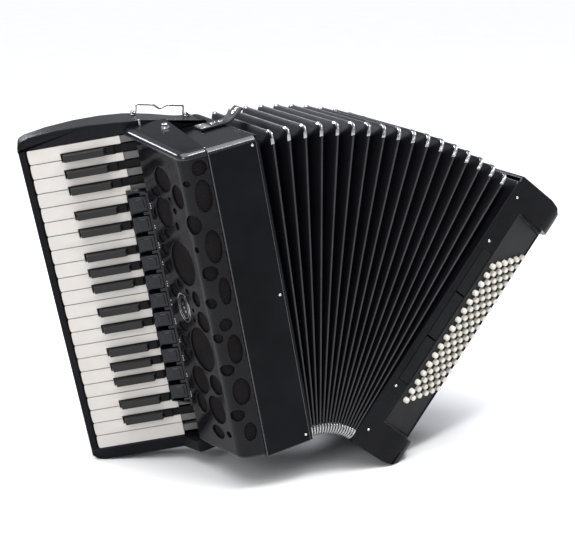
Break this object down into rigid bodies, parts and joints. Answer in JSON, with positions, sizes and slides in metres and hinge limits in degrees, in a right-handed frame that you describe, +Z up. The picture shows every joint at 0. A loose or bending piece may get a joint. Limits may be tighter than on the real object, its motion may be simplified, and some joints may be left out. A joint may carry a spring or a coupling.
{
  "type": "piano accordion",
  "caption": "Piano accordion with a perforated grille, fanned bellows, piano keyboard with register switches, and a bass side with button rows and hand strap.",
  "frame": {"origin": "centre of the bounding box at floor level, with the instrument standing on the lower corner of its keyboard and the lower corner of its bass side", "axes": "+X from the keyboard to the bass side, +Y from the front to the player, +Z up"},
  "size_m": [0.6966, 0.2082, 0.4807],
  "materials": {
    "black_lacquer": "high gloss lacquer",
    "black_satin": "satin",
    "white_keys": "polished",
    "black_keys": "satin",
    "button_cream": "polished",
    "reed_wood": "bare",
    "grille_fabric": "fine weave",
    "bellows_card": "cloth covered card with metal corners",
    "strap_leather": "grained",
    "chrome_parts": "polished",
    "steel_rod": "ground",
    "board_aluminium": "satin"
  },
  "bodies": {
    "treble": {"treble_casing": "black_lacquer", "pallet_board": "board_aluminium", "treble_reed_blocks": "reed_wood", "keyboard_bed": "black_satin", "key_axle": "steel_rod", "grille_cover": "black_lacquer", "grille_cloth": "grille_fabric", "register_rail": "black_satin", "strap_brackets": "chrome_parts", "treble_screws": "chrome_parts", "bellows_strap_top": "strap_leather", "bellows_strap_bottom": "strap_leather", "bellows_frame_treble": "black_satin", "bellows_folds_1": "bellows_card"},
    "bellows_mid_treble": {"bellows_folds_2": "bellows_card"},
    "bellows_mid_bass": {"bellows_folds_3": "bellows_card"},
    "bass": {"bellows_folds_4": "bellows_card", "bellows_frame_bass": "black_satin", "bass_casing": "black_satin", "bass_button_board": "black_satin", "bass_mechanism": "board_aluminium", "bass_reed_blocks": "reed_wood", "bass_back_cover": "black_satin", "bass_strap": "strap_leather", "bass_screws": "chrome_parts"},
    "strap_bail": {"strap_bail": "chrome_parts"},
    "air_button": {"air_button": "black_satin"},
    "strap_wheel": {"strap_wheel": "chrome_parts"},
    "key_group_c": {"key_group_c": "white_keys"},
    "key_group_c_sharp": {"key_group_c_sharp": "black_keys"},
    "key_group_d": {"key_group_d": "white_keys"},
    "key_group_d_sharp": {"key_group_d_sharp": "black_keys"},
    "key_group_e": {"key_group_e": "white_keys"},
    "key_group_f": {"key_group_f": "white_keys"},
    "key_group_f_sharp": {"key_group_f_sharp": "black_keys"},
    "key_group_g": {"key_group_g": "white_keys"},
    "key_group_g_sharp": {"key_group_g_sharp": "black_keys"},
    "key_group_a": {"key_group_a": "white_keys"},
    "key_group_a_sharp": {"key_group_a_sharp": "black_keys"},
    "key_group_b": {"key_group_b": "white_keys"},
    "register_switch_01": {"register_switch_01": "black_lacquer"},
    "register_switch_02": {"register_switch_02": "black_lacquer"},
    "register_switch_03": {"register_switch_03": "black_lacquer"},
    "register_switch_04": {"register_switch_04": "black_lacquer"},
    "register_switch_05": {"register_switch_05": "black_lacquer"},
    "register_switch_06": {"register_switch_06": "black_lacquer"},
    "register_switch_07": {"register_switch_07": "black_lacquer"},
    "register_switch_08": {"register_switch_08": "black_lacquer"},
    "register_switch_09": {"register_switch_09": "black_lacquer"},
    "register_switch_10": {"register_switch_10": "black_lacquer"},
    "register_switch_11": {"register_switch_11": "black_lacquer"},
    "bass_buttons_row_1": {"bass_buttons_row_1": "button_cream"},
    "bass_buttons_row_2": {"bass_buttons_row_2": "button_cream"},
    "bass_buttons_row_3": {"bass_buttons_row_3": "button_cream"},
    "bass_buttons_row_4": {"bass_buttons_row_4": "button_cream"},
    "bass_buttons_row_5": {"bass_buttons_row_5": "button_cream"},
    "bass_buttons_row_6": {"bass_buttons_row_6": "button_cream"},
    "bass_register_1": {"bass_register_1": "black_satin"},
    "bass_register_2": {"bass_register_2": "black_satin"},
    "bass_register_3": {"bass_register_3": "black_satin"}
  },
  "joints": [
    {"name": "bellows_open", "type": "hinge", "parent": "treble", "child": "bellows_mid_treble", "pos_m": [-0.01726, -0.0084, 0.05922], "axis": [0, 1, 0], "range_deg": [-16, 4], "deforming": ["bellows_folds_1", "bellows_folds_2"]},
    {"name": "bellows_open_2", "type": "hinge", "parent": "bellows_mid_treble", "child": "bellows_mid_bass", "pos_m": [0.00339, -0.0084, 0.05757], "axis": [0, 1, 0], "range_deg": [-16, 4], "deforming": ["bellows_folds_3"]},
    {"name": "bellows_open_3", "type": "hinge", "parent": "bellows_mid_bass", "child": "bass", "pos_m": [0.02277, -0.0084, 0.05026], "axis": [0, 1, 0], "range_deg": [-16, 4], "deforming": ["bellows_folds_4"]},
    {"name": "key_c_press", "type": "hinge", "parent": "treble", "child": "key_group_c", "pos_m": [-0.16339, 0.0255, 0.23941], "axis": [0.1996, 0, -0.9799], "range_deg": [0, 1.6], "stiffness_Nm_per_rad": 1.5, "springref_deg": -6.88},
    {"name": "key_c_sharp_press", "type": "hinge", "parent": "treble", "child": "key_group_c_sharp", "pos_m": [-0.16339, 0.0255, 0.23941], "axis": [0.1996, 0, -0.9799], "range_deg": [0, 1.6], "stiffness_Nm_per_rad": 1.5, "springref_deg": -6.88},
    {"name": "key_d_press", "type": "hinge", "parent": "treble", "child": "key_group_d", "pos_m": [-0.16339, 0.0255, 0.23941], "axis": [0.1996, 0, -0.9799], "range_deg": [0, 1.6], "stiffness_Nm_per_rad": 1.5, "springref_deg": -6.88},
    {"name": "key_d_sharp_press", "type": "hinge", "parent": "treble", "child": "key_group_d_sharp", "pos_m": [-0.16339, 0.0255, 0.23941], "axis": [0.1996, 0, -0.9799], "range_deg": [0, 1.6], "stiffness_Nm_per_rad": 1.5, "springref_deg": -6.88},
    {"name": "key_e_press", "type": "hinge", "parent": "treble", "child": "key_group_e", "pos_m": [-0.16339, 0.0255, 0.23941], "axis": [0.1996, 0, -0.9799], "range_deg": [0, 1.6], "stiffness_Nm_per_rad": 1.5, "springref_deg": -6.88},
    {"name": "key_f_press", "type": "hinge", "parent": "treble", "child": "key_group_f", "pos_m": [-0.16339, 0.0255, 0.23941], "axis": [0.1996, 0, -0.9799], "range_deg": [0, 1.6], "stiffness_Nm_per_rad": 1.5, "springref_deg": -6.88},
    {"name": "key_f_sharp_press", "type": "hinge", "parent": "treble", "child": "key_group_f_sharp", "pos_m": [-0.16339, 0.0255, 0.23941], "axis": [0.1996, 0, -0.9799], "range_deg": [0, 1.6], "stiffness_Nm_per_rad": 1.5, "springref_deg": -6.88},
    {"name": "key_g_press", "type": "hinge", "parent": "treble", "child": "key_group_g", "pos_m": [-0.16339, 0.0255, 0.23941], "axis": [0.1996, 0, -0.9799], "range_deg": [0, 1.6], "stiffness_Nm_per_rad": 1.5, "springref_deg": -6.88},
    {"name": "key_g_sharp_press", "type": "hinge", "parent": "treble", "child": "key_group_g_sharp", "pos_m": [-0.16339, 0.0255, 0.23941], "axis": [0.1996, 0, -0.9799], "range_deg": [0, 1.6], "stiffness_Nm_per_rad": 1.5, "springref_deg": -6.88},
    {"name": "key_a_press", "type": "hinge", "parent": "treble", "child": "key_group_a", "pos_m": [-0.16339, 0.0255, 0.23941], "axis": [0.1996, 0, -0.9799], "range_deg": [0, 1.6], "stiffness_Nm_per_rad": 1.5, "springref_deg": -6.88},
    {"name": "key_a_sharp_press", "type": "hinge", "parent": "treble", "child": "key_group_a_sharp", "pos_m": [-0.16339, 0.0255, 0.23941], "axis": [0.1996, 0, -0.9799], "range_deg": [0, 1.6], "stiffness_Nm_per_rad": 1.5, "springref_deg": -6.88},
    {"name": "key_b_press", "type": "hinge", "parent": "treble", "child": "key_group_b", "pos_m": [-0.16339, 0.0255, 0.23941], "axis": [0.1996, 0, -0.9799], "range_deg": [0, 1.6], "stiffness_Nm_per_rad": 1.5, "springref_deg": -6.88},
    {"name": "register_switch_01_press", "type": "hinge", "parent": "treble", "child": "register_switch_01", "pos_m": [-0.20533, 0.01593, 0.36251], "axis": [0.1996, 0, -0.9799], "range_deg": [0, 4.5], "stiffness_Nm_per_rad": 0.2, "springref_deg": -6.88},
    {"name": "register_switch_02_press", "type": "hinge", "parent": "treble", "child": "register_switch_02", "pos_m": [-0.20014, 0.01593, 0.33704], "axis": [0.1996, 0, -0.9799], "range_deg": [0, 4.5], "stiffness_Nm_per_rad": 0.2, "springref_deg": -6.88},
    {"name": "register_switch_03_press", "type": "hinge", "parent": "treble", "child": "register_switch_03", "pos_m": [-0.19495, 0.01593, 0.31156], "axis": [0.1996, 0, -0.9799], "range_deg": [0, 4.5], "stiffness_Nm_per_rad": 0.2, "springref_deg": -6.88},
    {"name": "register_switch_04_press", "type": "hinge", "parent": "treble", "child": "register_switch_04", "pos_m": [-0.18976, 0.01593, 0.28608], "axis": [0.1996, 0, -0.9799], "range_deg": [0, 4.5], "stiffness_Nm_per_rad": 0.2, "springref_deg": -6.88},
    {"name": "register_switch_05_press", "type": "hinge", "parent": "treble", "child": "register_switch_05", "pos_m": [-0.18457, 0.01593, 0.26061], "axis": [0.1996, 0, -0.9799], "range_deg": [0, 4.5], "stiffness_Nm_per_rad": 0.2, "springref_deg": -6.88},
    {"name": "register_switch_06_press", "type": "hinge", "parent": "treble", "child": "register_switch_06", "pos_m": [-0.17937, 0.01593, 0.23513], "axis": [0.1996, 0, -0.9799], "range_deg": [0, 4.5], "stiffness_Nm_per_rad": 0.2, "springref_deg": -6.88},
    {"name": "register_switch_07_press", "type": "hinge", "parent": "treble", "child": "register_switch_07", "pos_m": [-0.17418, 0.01593, 0.20965], "axis": [0.1996, 0, -0.9799], "range_deg": [0, 4.5], "stiffness_Nm_per_rad": 0.2, "springref_deg": -6.88},
    {"name": "register_switch_08_press", "type": "hinge", "parent": "treble", "child": "register_switch_08", "pos_m": [-0.16899, 0.01593, 0.18418], "axis": [0.1996, 0, -0.9799], "range_deg": [0, 4.5], "stiffness_Nm_per_rad": 0.2, "springref_deg": -6.88},
    {"name": "register_switch_09_press", "type": "hinge", "parent": "treble", "child": "register_switch_09", "pos_m": [-0.1638, 0.01593, 0.1587], "axis": [0.1996, 0, -0.9799], "range_deg": [0, 4.5], "stiffness_Nm_per_rad": 0.2, "springref_deg": -6.88},
    {"name": "register_switch_10_press", "type": "hinge", "parent": "treble", "child": "register_switch_10", "pos_m": [-0.15861, 0.01593, 0.13322], "axis": [0.1996, 0, -0.9799], "range_deg": [0, 4.5], "stiffness_Nm_per_rad": 0.2, "springref_deg": -6.88},
    {"name": "register_switch_11_press", "type": "hinge", "parent": "treble", "child": "register_switch_11", "pos_m": [-0.15342, 0.01593, 0.10775], "axis": [0.1996, 0, -0.9799], "range_deg": [0, 4.5], "stiffness_Nm_per_rad": 0.2, "springref_deg": -6.88},
    {"name": "bass_buttons_row_1_press", "type": "slide", "parent": "bass", "child": "bass_buttons_row_1", "axis": [-0.3001, 0.9272, 0.2242], "range_m": [0, 0.004], "stiffness_N_per_m": 600, "springref_m": -0.008},
    {"name": "bass_buttons_row_2_press", "type": "slide", "parent": "bass", "child": "bass_buttons_row_2", "axis": [-0.3001, 0.9272, 0.2242], "range_m": [0, 0.004], "stiffness_N_per_m": 600, "springref_m": -0.008},
    {"name": "bass_buttons_row_3_press", "type": "slide", "parent": "bass", "child": "bass_buttons_row_3", "axis": [-0.3001, 0.9272, 0.2242], "range_m": [0, 0.004], "stiffness_N_per_m": 600, "springref_m": -0.008},
    {"name": "bass_buttons_row_4_press", "type": "slide", "parent": "bass", "child": "bass_buttons_row_4", "axis": [-0.3001, 0.9272, 0.2242], "range_m": [0, 0.004], "stiffness_N_per_m": 600, "springref_m": -0.008},
    {"name": "bass_buttons_row_5_press", "type": "slide", "parent": "bass", "child": "bass_buttons_row_5", "axis": [-0.3001, 0.9272, 0.2242], "range_m": [0, 0.004], "stiffness_N_per_m": 600, "springref_m": -0.008},
    {"name": "bass_buttons_row_6_press", "type": "slide", "parent": "bass", "child": "bass_buttons_row_6", "axis": [-0.3001, 0.9272, 0.2242], "range_m": [0, 0.004], "stiffness_N_per_m": 600, "springref_m": -0.008},
    {"name": "bass_register_1_press", "type": "slide", "parent": "bass", "child": "bass_register_1", "axis": [0, 1, 0], "range_m": [0, 0.0025], "stiffness_N_per_m": 400, "springref_m": -0.005},
    {"name": "bass_register_2_press", "type": "slide", "parent": "bass", "child": "bass_register_2", "axis": [0, 1, 0], "range_m": [0, 0.0025], "stiffness_N_per_m": 400, "springref_m": -0.005},
    {"name": "bass_register_3_press", "type": "slide", "parent": "bass", "child": "bass_register_3", "axis": [0, 1, 0], "range_m": [0, 0.0025], "stiffness_N_per_m": 400, "springref_m": -0.005},
    {"name": "air_button_press", "type": "slide", "parent": "bass", "child": "air_button", "axis": [-0.8012, 0, 0.5984], "range_m": [0, 0.005], "stiffness_N_per_m": 250, "springref_m": -0.008},
    {"name": "strap_bail_swing", "type": "hinge", "parent": "treble", "child": "strap_bail", "pos_m": [-0.19751, 0.0766, 0.46636], "axis": [0.9973, 0, -0.0737], "range_deg": [-80, 80]},
    {"name": "strap_wheel_turn", "type": "hinge", "parent": "bass", "child": "strap_wheel", "pos_m": [0.31009, 0.0166, 0.35081], "axis": [0, 1, 0], "continuous": true}
  ],
  "couplings": [
    {"joint": "bellows_open_2", "follows": "bellows_open", "ratio": 1},
    {"joint": "bellows_open_3", "follows": "bellows_open", "ratio": 1}
  ]
}
